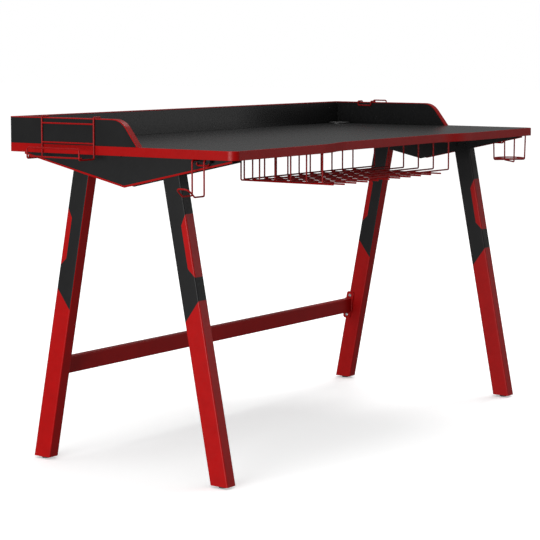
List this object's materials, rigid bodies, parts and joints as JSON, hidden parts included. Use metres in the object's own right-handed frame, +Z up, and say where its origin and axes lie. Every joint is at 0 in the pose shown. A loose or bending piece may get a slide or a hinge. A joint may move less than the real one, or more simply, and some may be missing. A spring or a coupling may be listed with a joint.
{
  "type": "gaming desk",
  "caption": "Gaming desk with a recessed front edge, low rear and side panels, A-shaped tube frames, a wire basket, a hung rack and hook, a headset hook and a cup holder.",
  "frame": {"origin": "on the floor, under the centre of the whole desk's box, holders included", "axes": "+X to the right along the desk's length, +Y from front to rear, +Z up"},
  "size_m": [1.5526, 0.655, 0.822],
  "materials": {
    "laminate": "black fine-grained laminate",
    "edging": "satin red edging",
    "leg_paint": "satin powder coat, red with a black upper part",
    "red_steel": "satin red powder coat",
    "red_wire": "satin red powder coat",
    "black_steel": "satin black powder coat",
    "black_plastic": "matte black plastic",
    "zinc": "bright zinc plating",
    "foot_rubber": "matte black"
  },
  "bodies": {
    "desk": {"basket_clips": "black_steel", "basket_cross_wires": "red_wire", "basket_long_wires": "red_wire", "basket_screws": "black_steel", "basket_top_bars": "red_wire", "clamp_screws": "black_steel", "cup_holder_arm": "red_wire", "cup_holder_clamp": "black_steel", "cup_holder_rings": "red_wire", "cup_holder_wires": "red_wire", "desktop_board": "laminate", "desktop_edge_band": "edging", "grommet_liner": "black_plastic", "headset_hook": "red_wire", "headset_hook_clamp": "black_steel", "left_back_leg": "leg_paint", "left_back_leg_plug": "black_plastic", "left_cheek_trim": "edging", "left_front_leg": "leg_paint", "left_front_leg_plug": "black_plastic", "left_inner_cheek": "black_steel", "left_outer_cheek": "black_steel", "left_panel_edging": "edging", "left_side_panel": "laminate", "left_stretcher_flange": "red_steel", "left_top_rail": "black_steel", "leg_bolts": "black_steel", "panel_screws": "black_steel", "rail_screws": "black_steel", "rear_panel": "laminate", "rear_panel_edging": "edging", "right_back_leg": "leg_paint", "right_back_leg_plug": "black_plastic", "right_cheek_trim": "edging", "right_front_leg": "leg_paint", "right_front_leg_plug": "black_plastic", "right_inner_cheek": "black_steel", "right_outer_cheek": "black_steel", "right_panel_edging": "edging", "right_side_panel": "laminate", "right_stretcher_flange": "red_steel", "right_top_rail": "black_steel", "stretcher_bolts": "zinc", "stretcher_tube": "red_steel"},
    "left_front_foot_body": {"left_front_foot": "foot_rubber"},
    "left_back_foot_body": {"left_back_foot": "foot_rubber"},
    "right_front_foot_body": {"right_front_foot": "foot_rubber"},
    "right_back_foot_body": {"right_back_foot": "foot_rubber"},
    "rack": {"rack_frame": "red_wire", "rack_bars": "red_wire"},
    "hook": {"panel_hook": "red_wire"},
    "cap": {"grommet_cap": "black_plastic"}
  },
  "joints": [
    {"name": "left_front_foot_level", "type": "slide", "parent": "desk", "child": "left_front_foot_body", "axis": [0, 0, -1], "range_m": [0, 0.01]},
    {"name": "left_back_foot_level", "type": "slide", "parent": "desk", "child": "left_back_foot_body", "axis": [0, 0, -1], "range_m": [0, 0.01]},
    {"name": "right_front_foot_level", "type": "slide", "parent": "desk", "child": "right_front_foot_body", "axis": [0, 0, -1], "range_m": [0, 0.01]},
    {"name": "right_back_foot_level", "type": "slide", "parent": "desk", "child": "right_back_foot_body", "axis": [0, 0, -1], "range_m": [0, 0.01]},
    {"name": "rack_slide", "type": "slide", "parent": "desk", "child": "rack", "axis": [0, 1, 0], "range_m": [-0.05, 0.078]},
    {"name": "hook_slide", "type": "slide", "parent": "desk", "child": "hook", "axis": [0, 1, 0], "range_m": [-0.17, 0.07]},
    {"name": "cap_turn", "type": "hinge", "parent": "desk", "child": "cap", "pos_m": [0.6102, 0.27, 0.755], "axis": [0, 0, 1], "continuous": true}
  ]
}
